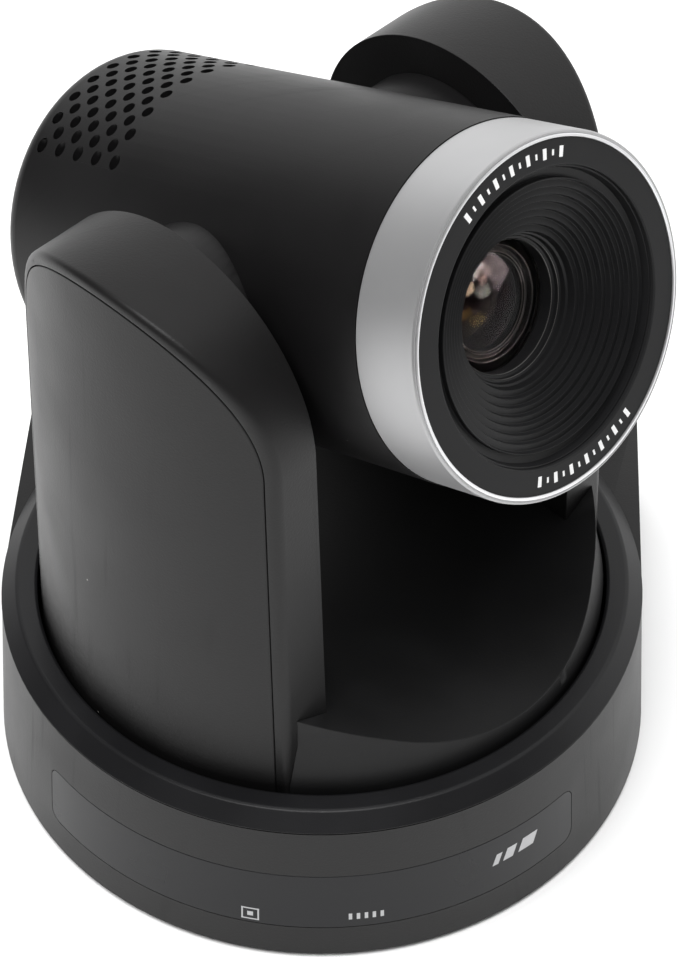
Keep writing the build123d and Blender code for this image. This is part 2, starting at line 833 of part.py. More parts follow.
def tilt_motor_bracket_shape():
    """The plate on two pillars that carries the tilt motor outside the gear."""
    plate = block(bracket_inner, bracket_inner + 1, -19, 19, tilt_motor_height - 11, tilt_motor_height + 11)
    plate -= Pos(0, 0, tilt_motor_height) * cross_rod(4, 0, bracket_inner + 10)
    for y, z in bracket_posts():
        plate += Pos(0, y, z) * cross_rod(2, upright_outer - 0.5, bracket_inner + 0.5)
    return plate


def tilt_motor():
    low = bracket_inner + 1
    body = cross_rod(motor_radius, low, low + tilt_motor_length, motor_shaft_radius + running_gap)
    body += cross_rod(motor_radius, low + tilt_motor_length - 1, low + tilt_motor_length)
    return on_turret(mirrored(Pos(0, 0, tilt_motor_height) * body))


def tilt_pinion():
    low = tilt_gear_offset - 0.2
    wheel = gear(pinion_teeth, tilt_gear_width + 0.4, 180 / pinion_teeth)
    wheel = Pos(low, 0, 0) * Rot(0, 90, 0) * wheel
    wheel += cross_rod(motor_shaft_radius, low, bracket_inner + tilt_motor_length - 0.6)
    return on_turret(mirrored(Pos(0, 0, tilt_motor_height) * Rot(180, 0, 0) * wheel))


def tilt_gear():
    # A tooth points straight down into the pinion's gap when the head rests.
    wheel = gear(tilt_gear_teeth, tilt_gear_width)
    wheel -= rod(tilt_shaft_radius, -1, tilt_gear_width + 1)
    for k in range(5):
        wheel -= Rot(0, 0, 72 * k) * Pos(14.5, 0) * rod(5, -1, tilt_gear_width + 1)
    wheel = Pos(tilt_gear_offset, 0, 0) * Rot(0, 90, 0) * wheel
    wheel = mirrored(Pos(0, 0, tilt_axis_height) * wheel)
    return on_turret(wheel)


def shaft_clips():
    left_low = tilt_gear_offset + tilt_gear_width
    right_low = arm_inner + arm_wall + 0.2 + bearing_width + 0.3
    left = mirrored(cross_rod(tilt_shaft_radius + 2, left_low, left_low + 0.4, tilt_shaft_radius))
    right = cross_rod(tilt_shaft_radius + 2, right_low, right_low + 0.8, tilt_shaft_radius)
    return on_turret(Pos(0, 0, tilt_axis_height) * Compound([left, right]))


# ---------------------------------------------------------------- head casing
def hub_shape(shaft_end):
    boss = cross_rod(hub_radius, barrel_radius - 11, hub_face)
    boss = fillet(boss.edges().group_by(Axis.X)[-1], hub_edge)
    boss -= rod(barrel_radius, -hub_radius - 5, hub_radius + 5)
    boss += cross_rod(tenon_radius, barrel_bore_radius - 3, hub_face - 0.5)
    boss += cross_rod(neck_radius, hub_face - 1, arm_inner + arm_wall - 0.3)
    return boss + cross_rod(tilt_shaft_radius, hub_face, shaft_end)


def left_hub():
    return on_head(mirrored(hub_shape(tilt_gear_offset + tilt_gear_width + 0.4)))


def right_hub():
    return on_head(hub_shape(arm_inner + arm_wall + bearing_width + 1.6))


def barrel_form(inset, front):
    low = -barrel_back + inset
    body = rod(barrel_radius - inset, low, front)
    return fillet(body.edges().group_by(Axis.Z)[0], barrel_back_edge - inset)


def barrel_shell():
    """The whole sleeve of the head, before it is parted along the lens axis."""
    shell = barrel_form(0, barrel_front) - barrel_form(barrel_wall, barrel_front + 1)
    spigot = rod(silver_radius - silver_wall, barrel_front - 4, barrel_front + spigot_length,
                 silver_radius - silver_wall - 2)
    shell += spigot
    return shell - cross_rod(tenon_radius + head_gap, -barrel_radius - 5, barrel_radius + 5)


def vent_holes():
    """Staggered rows of holes moulded straight down through the top of the sleeve."""
    holes = Sketch()
    for row in range(vent_rows):
        x = (row - (vent_rows - 1) / 2) * vent_pitch_across
        count = vent_count - row % 2
        shift = vent_pitch_along / 2 * (row % 2)
        for k in range(count):
            holes += Pos(x, vent_first + shift + k * vent_pitch_along) * Circle(vent_radius)
    plane = Plane(origin=(0, barrel_radius / 2, 0), x_dir=(1, 0, 0), z_dir=(0, 1, 0))
    return extrude(plane * holes, barrel_radius)


def top_shell():
    reach = barrel_radius + 5
    upper = block(-reach, reach, 0, reach, -barrel_back - 5, barrel_front + 20)
    return on_head((barrel_shell() & upper) - vent_holes())


def bottom_shell():
    reach = barrel_radius + 5
    lower = block(-reach, reach, -reach, 0, -barrel_back - 5, barrel_front + 20)
    return on_head(barrel_shell() & lower)


def silver_ring():
    ring = rod(silver_radius, barrel_front, silver_front, silver_radius - silver_wall)
    front_edge = ring.edges().group_by(Axis.Z)[-1].sort_by(SortBy.LENGTH)[-1]
    return on_head(fillet(front_edge, 0.5))


def face_plate():
    low = plate_lens_front - face_plate_thickness
    plate = rod(silver_radius - silver_wall - 0.05, low, plate_lens_front, face_bore_radius)
    return on_head(plate)


def hood_points():
    """The baffle's inner wall: a groove, ridges down to the throat, and a lip over the front glass."""
    rim = plate_lens_front - hood_rim_setback
    first = plate_lens_front - hood_first_depth
    throat = plate_lens_front - hood_throat_depth
    groove = plate_lens_front - hood_groove_depth
    tread = (hood_first_radius - hood_throat_radius) / (hood_ridges - 1)
    rise = (first - throat) / (hood_ridges - 1)
    rim_radius = face_bore_radius - hood_rim_width
    points = [(rim_radius, rim), (rim_radius - 0.3, groove), (hood_first_radius + 0.1, groove)]
    for k in range(hood_ridges):
        radius = hood_first_radius - k * tread
        height = first - k * rise
        points += [(radius, height), (radius - hood_ridge_wall, height - 1.3 * rise)]
    lip_low = glass_cover_height(hood_lip_radius)
    lip_front = lip_low + hood_lip_thickness
    points += [(hood_throat_radius - 0.5, lip_front + 0.4), (hood_lip_radius, lip_front)]
    return points


def glass_cover_height(radius):
    """The height that clears the front glass's dome at a radius."""
    dome = dome_radius(front_glass_radius, front_glass_rise)
    apex = front_glass_seat + front_glass_rim + front_glass_rise
    return apex - dome + sqrt(dome * dome - radius * radius) + 4 * glass_gap


def lens_hood():
    """The ridged baffle, with a nose inside the lens tube that holds the front glass."""
    rim_low = front_glass_seat + front_glass_rim + glass_gap
    nose_radius = tube_bore_radius - glass_gap
    rim = plate_lens_front - hood_rim_setback
    outer = [(hood_lip_radius, glass_cover_height(hood_lip_radius)), (front_glass_radius, rim_low),
             (nose_radius, rim_low), (nose_radius, lens_tube_front), (lens_tube_radius, lens_tube_front),
             (face_bore_radius, rim - 4), (face_bore_radius, rim)]
    return on_head(turned(*hood_points(), *outer))


# ---------------------------------------------------------------- lens block inside the head
def guide_places():
    return [(-rod_offset, 0), (rod_offset, 0)]


def lens_tube():
    body = rod(lens_tube_radius, lens_tube_back, lens_tube_front, tube_bore_radius)
    body += rod(lens_tube_radius, lens_tube_back - 2, lens_tube_back, 8)
    cell_low = front_glass_seat - glass_cell_floor
    cell_radius = tube_bore_radius + 0.5
    body += rod(cell_radius, cell_low, front_glass_seat, front_glass_radius - front_glass_ledge)
    body += rod(cell_radius, front_glass_seat, front_glass_seat + front_glass_rim, front_glass_radius + glass_gap)
    back_wall = lens_tube_back - 2
    holder = block(-12, 12, -9, 9, back_wall - sensor_holder_length, back_wall)
    body += holder - block(-8, 8, -6.5, 6.5, back_wall - sensor_holder_length - 1, back_wall + 1)
    for y in (-lead_screw_offset, lead_screw_offset):
        body -= Pos(0, y) * rod(lead_screw_radius + running_gap, lens_tube_back - 3, lens_tube_back + 1)
    return on_head(body)


def front_glass():
    rim = front_glass_seat + front_glass_rim
    return on_head(lens(front_glass_radius, front_glass_seat, rim, front_glass_rise, -1.5))


def guide_rods():
    bar = rod(rod_radius, lens_tube_back, front_glass_seat - glass_cell_floor)
    return on_head(Compound([Pos(x, y) * bar for x, y in guide_places()]))


def carriage(screw_side):
    """A lens carriage that rides on both rods and is driven by one lead screw."""
    reach = rod_offset + 3
    outline = Circle(carriage_ring_radius) + Rectangle(2 * reach, 6)
    outline += Pos(0, screw_side * (lead_screw_offset + 2.5) / 2) * Rectangle(6, lead_screw_offset + 2.5)
    outline -= Circle(carriage_glass_radius)
    for x, y in guide_places():
        outline -= Pos(x, y) * Circle(rod_radius + running_gap)
    outline -= Pos(0, screw_side * lead_screw_offset) * Circle(lead_screw_radius + running_gap)
    return extrude(outline, carriage_thickness)


def zoom_carriage():
    return on_head(Pos(0, 0, zoom_rest) * carriage(-1))


def zoom_lens():
    return on_head(Pos(0, 0, zoom_rest) * lens(carriage_glass_radius - 0.05, 0.5, 3.0, 1.2, -0.4))


def focus_carriage():
    return on_head(Pos(0, 0, focus_rest) * carriage(1))


def focus_lens():
    return on_head(Pos(0, 0, focus_rest) * lens(carriage_glass_radius - 0.05, 1.0, 3.0, 0.9, 0.8))


def lead_screw(high):
    return rod(lead_screw_radius, lens_tube_back - 2 - 3.5, high)


def zoom_screw():
    return on_head(Pos(0, -lead_screw_offset) * lead_screw(front_glass_seat - glass_cell_floor - 1))


def focus_screw():
    high = focus_rest + focus_travel + carriage_thickness + 2
    return on_head(Pos(0, lead_screw_offset) * lead_screw(high))


def lens_motor():
    front = lens_tube_back - 2
    body = rod(lens_motor_radius, front - lens_motor_length, front)
    return body - rod(lead_screw_radius + running_gap, front - 4, front + 1)


def lens_motors():
    return on_head(Compound([Pos(0, side * lead_screw_offset) * lens_motor() for side in (-1, 1)]))


def sensor_board():
    """The sensor on its small board, closing the holder at the back of the lens tube."""
    sensor_back = lens_tube_back - 2 - sensor_holder_length
    board = block(-18, 18, -10, 10, sensor_back - 1.6, sensor_back)
    return on_head(board + block(-7.5, 7.5, -6, 6, sensor_back, sensor_back + 1.5))


video_board_front = -38.4
video_post_radius = 1.8
video_post_x = (lens_tube_radius + video_post_radius + 1.04) * cos(radians(40.1))
video_post_y = (lens_tube_radius + video_post_radius + 1.04) * sin(radians(40.1))


def video_post_places():
    return [(sx * video_post_x, sy * video_post_y) for sx in (-1, 1) for sy in (-1, 1)]


def lens_supports():
    """The cast ring with four board posts in the middle of the head, and the thin ring in front."""
    low = support_high - support_thickness
    bore = lens_tube_radius + support_gap
    outer = barrel_bore_radius - 4 * support_gap
    ring = rod(outer, low, support_high, bore)
    ring -= cross_rod(tenon_radius + 4 * support_gap, -barrel_radius, barrel_radius)
    ring += rod(lens_tube_radius + 3, low, support_high, bore)
    for x, y in video_post_places():
        ring += Pos(x, y) * rod(video_post_radius, video_board_front, low + 0.5)
    front = rod(outer, front_support_low, front_support_low + 2.5, bore)
    return on_head(Compound([ring, front]))


def video_board():
    half_width = video_post_x + 3
    half_height = video_post_y + 3
    back = video_board_front - 1.6
    board = block(-half_width, half_width, -half_height, half_height, back, video_board_front)
    return on_head(board & rod(barrel_bore_radius - 1, back, video_board_front))


def heat_sink():
    top = video_board_front - 1.6
    body = block(-15, 15, -15, 15, top - 3, top)
    for k in range(7):
        x = -15 + 1 + k * 14 / 3
        body += block(x - 0.8, x + 0.8, -15, 15, top - 12, top - 2.5)
    return on_head(body)


# ---------------------------------------------------------------- write every node
makers = [
    base_housing, top_ring, bottom_plate, rubber_feet, base_screws, tripod_insert, bracket_nuts,
    front_window, front_board, ir_receiver, status_led, interface_board, board_standoffs,
    dc_jack, hdmi_port, lan_port, sdi_connector, round_jacks, rear_panel,
    pedestal, pan_gear, spindle_clip, pan_bush, turntable, pan_motor, pan_pinion,
    yoke_body, left_arm, right_arm, left_arm_cover, right_arm_cover,
    left_upright, right_upright, turret_screws,
    tilt_bearings, tilt_motor, tilt_pinion, tilt_gear, shaft_clips,
    left_hub, right_hub, top_shell, bottom_shell, silver_ring, face_plate, lens_hood,
    lens_tube, front_glass, guide_rods, lens_supports, lens_motors, sensor_board, video_board, heat_sink,
    zoom_carriage, zoom_lens, zoom_screw, focus_carriage, focus_lens, focus_screw,
]

os.makedirs("parts", exist_ok=True)
for maker in makers:
    export_step(maker(), f"parts/{maker.__name__}.step")
print(len(makers), "nodes written")
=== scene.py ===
# %% [markdown]
# # A pan and tilt camera, from the inside out
# The mechanical model gives every piece its true size and place. This script dresses it: it
# gives each surface its finish, softens the moulded edges, and builds again the few turned
# pieces that are seen closest. It starts by loading the model, and every piece made later
# rides on one of its moving bodies.

# %% Load the mechanical model
import json
from math import atan2, cos, pi, radians, sin, tau

import bmesh
import bpy
from mathutils import Matrix, Vector


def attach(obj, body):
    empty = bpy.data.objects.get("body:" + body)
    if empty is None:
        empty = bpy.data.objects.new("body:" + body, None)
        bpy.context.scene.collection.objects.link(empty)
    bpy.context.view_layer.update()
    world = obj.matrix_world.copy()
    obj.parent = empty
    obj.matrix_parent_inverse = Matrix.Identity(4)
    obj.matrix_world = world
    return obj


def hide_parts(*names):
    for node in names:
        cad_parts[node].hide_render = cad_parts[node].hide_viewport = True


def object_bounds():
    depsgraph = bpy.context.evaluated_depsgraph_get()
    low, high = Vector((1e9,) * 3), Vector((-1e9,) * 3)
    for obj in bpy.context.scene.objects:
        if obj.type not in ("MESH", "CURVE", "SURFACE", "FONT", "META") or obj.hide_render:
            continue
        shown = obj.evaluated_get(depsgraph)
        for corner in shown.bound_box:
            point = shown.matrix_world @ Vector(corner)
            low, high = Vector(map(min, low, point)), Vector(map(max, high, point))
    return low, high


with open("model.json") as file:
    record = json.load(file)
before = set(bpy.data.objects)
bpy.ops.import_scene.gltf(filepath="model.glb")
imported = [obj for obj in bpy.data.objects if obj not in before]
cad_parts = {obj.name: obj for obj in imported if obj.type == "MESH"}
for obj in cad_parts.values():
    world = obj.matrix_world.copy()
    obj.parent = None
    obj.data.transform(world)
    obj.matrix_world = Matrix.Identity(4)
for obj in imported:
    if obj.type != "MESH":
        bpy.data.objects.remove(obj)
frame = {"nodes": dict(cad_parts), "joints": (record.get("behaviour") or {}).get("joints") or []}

MM = 0.001
nodes = frame["nodes"]
model_box = [list(corner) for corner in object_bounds()]
print("model box in mm:", [[round(x / MM, 1) for x in corner] for corner in model_box])

# %% [markdown]
# ## Where the head points
# The head is tilted up and turned to one side. The joints of the model say how: the tilt
# joint's axis runs through both arms, and the zoom joint slides along the lens. From those
# two directions we get a matrix that carries a piece from "lens space" (Z forward along the
# lens, Y up, X to the right arm) to its real place. Working in lens space keeps every turned
# piece a plain spin about Z.

# %% Two frames to work in
joints = {joint["name"]: joint for joint in frame["joints"]}
lens_direction = Vector(joints["zoom"]["axis"])
right_direction = -Vector(joints["tilt"]["axis"])
up_direction = lens_direction.cross(right_direction)
head_axes = Matrix((right_direction, up_direction, lens_direction)).transposed()
HEAD = Matrix.Translation(joints["tilt"]["pos_m"]) @ head_axes.to_4x4()
TURRET = Matrix.Rotation(atan2(right_direction.y, right_direction.x), 4, "Z")
ROW = Matrix.Identity(4)
print("lens direction", [round(x, 3) for x in lens_direction])

# %% [markdown]
# ## Shared effects as node groups
# Moulded plastic is never one flat colour: the mould's etched skin gives it a fine grain,
# and the melt leaves soft cloudy patches. A few dust specks sit on top. These effects are
# shared by many finishes, so each is built once as a node group with named sockets.

# %% A helper that opens a new node group
def new_group(name, inputs, outputs):
    group = bpy.data.node_groups.new(name, "ShaderNodeTree")
    for socket, value in inputs.items():
        made = group.interface.new_socket(socket, in_out="INPUT", socket_type="NodeSocketFloat")
        made.default_value = value
    for socket in outputs:
        group.interface.new_socket(socket, in_out="OUTPUT", socket_type="NodeSocketFloat")
    return group, group.nodes.new("NodeGroupInput"), group.nodes.new("NodeGroupOutput")


def add(tree, kind, **settings):
    node = tree.nodes.new(kind)
    for key, value in settings.items():
        setattr(node, key, value)
    return node


def math_node(tree, operation, first, second, clamp=False):
    node = add(tree, "ShaderNodeMath", operation=operation, use_clamp=clamp)
    for socket, value in zip(node.inputs, (first, second)):
        if isinstance(value, (int, float)):
            socket.default_value = value
        else:
            tree.links.new(value, socket)
    return node.outputs[0]


# %% The moulded grain
def build_grain():
    """Height of an etched skin, and slow cloudy patches from 0 to 1."""
    defaults = {"Grain": 2500.0, "Cloud": 45.0}
    group, given, out = new_group("moulded_grain", defaults, ["Height", "Patches"])
    place = add(group, "ShaderNodeTexCoord").outputs["Object"]
    fine = add(group, "ShaderNodeTexNoise")
    fine.inputs["Detail"].default_value = 2.0
    cloud = add(group, "ShaderNodeTexNoise")
    cloud.inputs["Detail"].default_value = 3.0
    for texture, socket in ((fine, "Grain"), (cloud, "Cloud")):
        group.links.new(place, texture.inputs["Vector"])
        group.links.new(given.outputs[socket], texture.inputs["Scale"])
    spread = math_node(group, "SUBTRACT", cloud.outputs["Fac"], 0.35)
    patches = math_node(group, "MULTIPLY", spread, 3.3, clamp=True)
    group.links.new(fine.outputs["Fac"], out.inputs["Height"])
    group.links.new(patches, out.inputs["Patches"])
    return group


GRAIN = build_grain()


# %% The dust
def build_dust():
    """A mask of sparse round specks: cells of a Voronoi pattern, of which few are kept."""
    defaults = {"Cells": 260.0, "Share": 0.03, "Speck": 0.05}
    group, given, out = new_group("dust", defaults, ["Mask"])
    place = add(group, "ShaderNodeTexCoord").outputs["Object"]
    cells = add(group, "ShaderNodeTexVoronoi")
    group.links.new(place, cells.inputs["Vector"])
    group.links.new(given.outputs["Cells"], cells.inputs["Scale"])
    draw = add(group, "ShaderNodeSeparateColor")
    group.links.new(cells.outputs["Color"], draw.inputs["Color"])
    kept = math_node(group, "LESS_THAN", draw.outputs["Red"], given.outputs["Share"])
    near = math_node(group, "LESS_THAN", cells.outputs["Distance"], given.outputs["Speck"])
    group.links.new(math_node(group, "MULTIPLY", kept, near), out.inputs["Mask"])
    return group


DUST = build_dust()


# %% The rubs
def build_rubs():
    """Long thin marks that a cloth leaves, from a noise stretched along one way."""
    defaults = {"Length": 18.0, "Width": 600.0, "Amount": 0.3}
    group, given, out = new_group("rubs", defaults, ["Mask"])
    place = add(group, "ShaderNodeTexCoord").outputs["Object"]
    stretch = add(group, "ShaderNodeMapping")
    stretch.inputs["Rotation"].default_value = (0.3, 0.5, 0.8)
    scale = add(group, "ShaderNodeCombineXYZ")
    for socket, axis in (("Length", "X"), ("Width", "Y"), ("Length", "Z")):
        group.links.new(given.outputs[socket], scale.inputs[axis])
    group.links.new(place, stretch.inputs["Vector"])
    group.links.new(scale.outputs["Vector"], stretch.inputs["Scale"])
    noise = add(group, "ShaderNodeTexNoise")
    noise.inputs["Scale"].default_value = 1.0
    noise.inputs["Detail"].default_value = 2.0
    group.links.new(stretch.outputs["Vector"], noise.inputs["Vector"])
    peaks = math_node(group, "SUBTRACT", noise.outputs["Fac"], 0.62)
    sharp = math_node(group, "MULTIPLY", peaks, 8.0, clamp=True)
    mask = math_node(group, "MULTIPLY", sharp, given.outputs["Amount"])
    group.links.new(mask, out.inputs["Mask"])
    return group


RUBS = build_rubs()
print("groups:", [group.name for group in bpy.data.node_groups])

# %% [markdown]
# ## Finishes
# One function makes every finish, because they share the same build: a Principled shader
# whose colour and roughness drift with the patches, a bump from the grain, and dust that is
# paler than what it lies on. Values that never vary sit on the shader's own
# sockets. What differs between plastic, paint, steel and glass is only the numbers.

# %% The finish maker
def finish(name, colour, roughness, *, drift=0.12, grain=2500.0, depth=0.004, cloud=45.0,
           metallic=0.0, coat=0.0, specular=0.5, dust=0.0, rubs=0.0, **constant):
    material = bpy.data.materials.new(name)
    material.use_nodes = True
    tree = material.node_tree
    shader = tree.nodes["Principled BSDF"]
    shader.inputs["Metallic"].default_value = metallic
    shader.inputs["Coat Weight"].default_value = coat
    shader.inputs["Coat Roughness"].default_value = 0.15
    shader.inputs["Specular IOR Level"].default_value = specular
    for socket, value in constant.items():
        shader.inputs[socket.replace("_", " ")].default_value = value
    skin = add(tree, "ShaderNodeGroup", node_tree=GRAIN)
    skin.inputs["Grain"].default_value = grain
    skin.inputs["Cloud"].default_value = cloud
    patches = skin.outputs["Patches"]
    tint = add(tree, "ShaderNodeMix", data_type="RGBA")
    tint.inputs["A"].default_value = [c * (1 - drift) for c in colour] + [1]
    tint.inputs["B"].default_value = [c * (1 + drift) for c in colour] + [1]
    tree.links.new(patches, tint.inputs["Factor"])
    colour_out = tint.outputs["Result"]
    rough_out = math_node(tree, "MULTIPLY_ADD", patches, roughness * drift)
    rough_out.node.inputs[2].default_value = roughness * (1 - drift / 2)
    if dust:
        specks = add(tree, "ShaderNodeGroup", node_tree=DUST)
        specks.inputs["Share"].default_value = dust
        pale = add(tree, "ShaderNodeMix", data_type="RGBA")
        pale.inputs["B"].default_value = (0.32, 0.31, 0.29, 1)
        tree.links.new(specks.outputs["Mask"], pale.inputs["Factor"])
        tree.links.new(colour_out, pale.inputs["A"])
        colour_out = pale.outputs["Result"]
    if rubs:
        marks = add(tree, "ShaderNodeGroup", node_tree=RUBS)
        marks.inputs["Amount"].default_value = rubs
        rough_out = math_node(tree, "ADD", rough_out, marks.outputs["Mask"])
    tree.links.new(colour_out, shader.inputs["Base Color"])
    tree.links.new(rough_out, shader.inputs["Roughness"])
    if depth:
        bump = add(tree, "ShaderNodeBump")
        bump.inputs["Distance"].default_value = depth * MM
        tree.links.new(skin.outputs["Height"], bump.inputs["Height"])
        tree.links.new(bump.outputs["Normal"], shader.inputs["Normal"])
    return material


# %% Plastics
case_black = finish("case_black", (0.0062, 0.0060, 0.0061), 0.42, grain=2100, depth=0.035,
                    specular=0.27, dust=0.02, rubs=0.05)
ring_black = finish("ring_black", (0.006, 0.006, 0.0066), 0.40, grain=2600, depth=0.02,
                    specular=0.3, dust=0.03, rubs=0.04)
sleeve_black = finish("sleeve_black", (0.0055, 0.0053, 0.0055), 0.40, grain=3000, depth=0.02,
                      specular=0.20, dust=0.02, rubs=0.04)
deck_black = finish("deck_black", (0.0062, 0.0062, 0.0064), 0.46, grain=2100, depth=0.03,
                    specular=0.27, dust=0.01)
window_smoked = finish("window_smoked", (0.0055, 0.0057, 0.0068), 0.28, drift=0.05,
                       depth=0.006, specular=0.25, rubs=0.03)
disc_black = finish("disc_black", (0.015, 0.015, 0.0155), 0.50, depth=0.006, specular=0.15,
                    dust=0.02)
baffle_black = finish("baffle_black", (0.009, 0.009, 0.0095), 0.40, depth=0.006,
                      specular=0.25, dust=0.02)
cell_black = finish("cell_black", (0.004, 0.004, 0.0043), 0.35, depth=0.004, specular=0.3)
panel_black = finish("panel_black", (0.02, 0.02, 0.021), 0.55, depth=0.02)
nylon_white = finish("nylon_white", (0.72, 0.70, 0.64), 0.5, depth=0.01, Subsurface_Weight=0.1)
foot_rubber = finish("foot_rubber", (0.02, 0.02, 0.02), 0.75, grain=1600, depth=0.04)
lamp_blue = finish("lamp_blue", (0.15, 0.3, 0.7), 0.2, drift=0.03)

# %% Paints and metals
silver_paint = finish("silver_paint", (0.43, 0.43, 0.435), 0.42, drift=0.03, grain=4000,
                      depth=0.006, metallic=0.7, dust=0.01)
# The lip's silver is paler than the ring's: a painted highlight on real silver.
lip_highlight_silver = finish("lip_highlight_silver", (0.82, 0.82, 0.83), 0.3, drift=0.02, depth=0.003, metallic=0.8)
# A grey for the fine edges in the lens cell and throat: a painted highlight on black edges.
edge_highlight_grey = finish("edge_highlight_grey", (0.10, 0.097, 0.094), 0.35, drift=0.05, depth=0.0,
                        metallic=0.5)
bare_steel = finish("bare_steel", (0.55, 0.55, 0.56), 0.3, metallic=1.0, rubs=0.1)
black_steel = finish("black_steel", (0.03, 0.03, 0.032), 0.45, metallic=0.3, depth=0.02)
cast_aluminium = finish("cast_aluminium", (0.65, 0.66, 0.67), 0.42, metallic=1.0, grain=1800,
                        depth=0.03)
turned_brass = finish("turned_brass", (0.75, 0.55, 0.24), 0.28, metallic=1.0, rubs=0.08)
tin_plate = finish("tin_plate", (0.62, 0.63, 0.64), 0.24, metallic=1.0, depth=0.003)
board_green = finish("board_green", (0.012, 0.09, 0.045), 0.35, drift=0.2, coat=0.4)
mark_white = finish("mark_white", (0.80, 0.80, 0.80), 0.5, drift=0.04, depth=0.003)
mark_grey = finish("mark_grey", (0.50, 0.50, 0.51), 0.45, drift=0.04, depth=0.003)

# %% Glass
# A coated lens mirrors far less than bare glass, so its index is set below the real 1.5.
lens_glass = finish("lens_glass", (1.0, 0.97, 0.97), 0.0, drift=0.0, depth=0.0,
                    Transmission_Weight=1.0, IOR=1.12)
coated_glass = finish("coated_glass", (0.004, 0.003, 0.0035), 0.04, drift=0.4, cloud=60,
                      depth=0.0, specular=0.08, Specular_Tint=(1.0, 0.80, 0.62, 1.0))
print(len(bpy.data.materials), "materials, the model's own among them")

# %% [markdown]
# ## Dressing the pieces that keep their shape
# Most of the camera is hidden, underneath or at the back: boards, screws, gears, sockets.
# The model already has their true shapes, so each only needs its finish in place of the
# plain colour that it came with.

# %% Give each carried-over node its finish
def dress(mesh, material):
    mesh.materials.clear()
    mesh.materials.append(material)


finish_of = {
    sleeve_black: "bottom_shell",
    panel_black: "rear_panel front_board ir_receiver zoom_carriage focus_carriage dc_jack "
                 "round_jacks lens_tube",
    black_steel: "bottom_plate left_upright right_upright lens_supports",
    bare_steel: "base_screws turret_screws spindle_clip shaft_clips tilt_bearings guide_rods "
                "zoom_screw focus_screw pan_motor tilt_motor lens_motors sdi_connector",
    turned_brass: "tripod_insert bracket_nuts board_standoffs",
    foot_rubber: "rubber_feet",
    board_green: "interface_board sensor_board video_board",
    tin_plate: "hdmi_port lan_port",
    cast_aluminium: "pedestal turntable heat_sink",
    nylon_white: "pan_gear pan_pinion tilt_gear tilt_pinion pan_bush",
    lamp_blue: "status_led",
    coated_glass: "zoom_lens focus_lens",
}
for material, names in finish_of.items():
    for name in names.split():
        dress(nodes[name].data, material)
print("nodes dressed:", sum(len(names.split()) for names in finish_of.values()))

# %% [markdown]
# ## Softer edges on the moulded shells
# A moulded shell has no knife edges: each outer edge is rounded by a few tenths of a
# millimetre, and that tiny round catches the light as a thin bright line. The model's edges
# are sharp, so we take a copy of its mesh, merge the loose triangles, and let a Bevel
# modifier round whatever is sharper than a set angle. The copy then stands for the node.

# %% Helpers for pieces
def put(name, mesh, body, material, slot, *replaced):
    piece = bpy.data.objects.new(name, mesh)
    bpy.context.scene.collection.objects.link(piece)
    dress(mesh, material)
    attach(piece, body)
    if replaced:
        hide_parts(*replaced)
    return piece


def soften(piece, width, segments=3, angle=35):
    bevel = piece.modifiers.new("soft edges", "BEVEL")
    bevel.width = width * MM
    bevel.segments = segments
    bevel.limit_method = "ANGLE"
    bevel.angle_limit = radians(angle)
    bevel.harden_normals = True
    return piece


def moulded_copy(node, name, body, material, slot, width, angle=35, round_edge=None,
                 radius=1.3):
    """Copy a node, rounding the edges that round_edge picks by radius and the rest by width."""
    shell = bmesh.new()
    shell.from_mesh(nodes[node].data)
    bmesh.ops.remove_doubles(shell, verts=shell.verts, dist=0.002 * MM)
    if round_edge:
        picked = [edge for edge in shell.edges
                  if edge.calc_face_angle(0) > radians(angle) and round_edge(edge)]
        bmesh.ops.bevel(shell, geom=picked, offset=radius * MM, segments=5, profile=0.5,
                        affect="EDGES", material=-1)
        print(name, "has", len(picked), "edge pieces rounded by", radius, "mm")
    mesh = bpy.data.meshes.new(name)
    shell.to_mesh(mesh)
    shell.free()
    mesh.shade_smooth()
    mesh.set_sharp_from_angle(angle=radians(angle))
    return soften(put(name, mesh, body, material, slot, node), width, angle=angle)


# %% Which edges are rounded most
ARCH_RADIUS = 35.9
ARCH_HEIGHT = 130.2
WALL_RADIUS = 63.2
DECK_HEIGHT = 42.7
ARM_TAPER = 0.0337
CASE_TOP = 38.9
SIDES_START = 12
NEAR_WALL = 71


def on_arm_outline(edge):
    """True along the arch where an arm's outer wall meets its flat flank."""
    for corner in edge.verts:
        place = TURRET.inverted() @ corner.co / MM
        flank = ARCH_RADIUS + ARM_TAPER * max(0, ARCH_HEIGHT - place.z)
        reach = Vector((place.y, max(0, place.z - ARCH_HEIGHT))).length
        wall = WALL_RADIUS - ARM_TAPER * (place.z - DECK_HEIGHT)
        if abs(reach - flank) > 0.1 or abs(Vector((place.x, place.y)).length - wall) > 0.1:
            return False
    return True


def on_case_back(edge):
    """True along the top edge of the case's straight sides and back."""
    for corner in edge.verts:
        x, y, z = corner.co / MM
        if abs(z - CASE_TOP) >= 0.02 or y <= SIDES_START or max(abs(x), y - 2) <= NEAR_WALL:
            return False
    return True


# %% The shells
shells = [
    ("yoke_body", "deck", "turret", deck_black, "black_shell", 0.3),
    ("left_arm_cover", "arm_cover_left", "turret", case_black, "black_shell", 0.25),
    ("right_arm_cover", "arm_cover_right", "turret", case_black, "black_shell", 0.25),
    ("front_window", "window", "base", window_smoked, "window", 0.1),
    ("left_hub", "hub_left", "head", sleeve_black, "black_shell", 0.15),
    ("right_hub", "hub_right", "head", sleeve_black, "black_shell", 0.15),
]
for node, name, body, material, slot, width in shells:
    moulded_copy(node, name, body, material, slot, width)
moulded_copy("base_housing", "case", "base", case_black, "black_shell", 0.4,
             round_edge=on_case_back, radius=1.5)
for side in ("left", "right"):
    moulded_copy(f"{side}_arm", f"arm_{side}", "turret", case_black, "black_shell", 0.15,
                 round_edge=on_arm_outline)
print(len(shells) + 3, "shells softened")

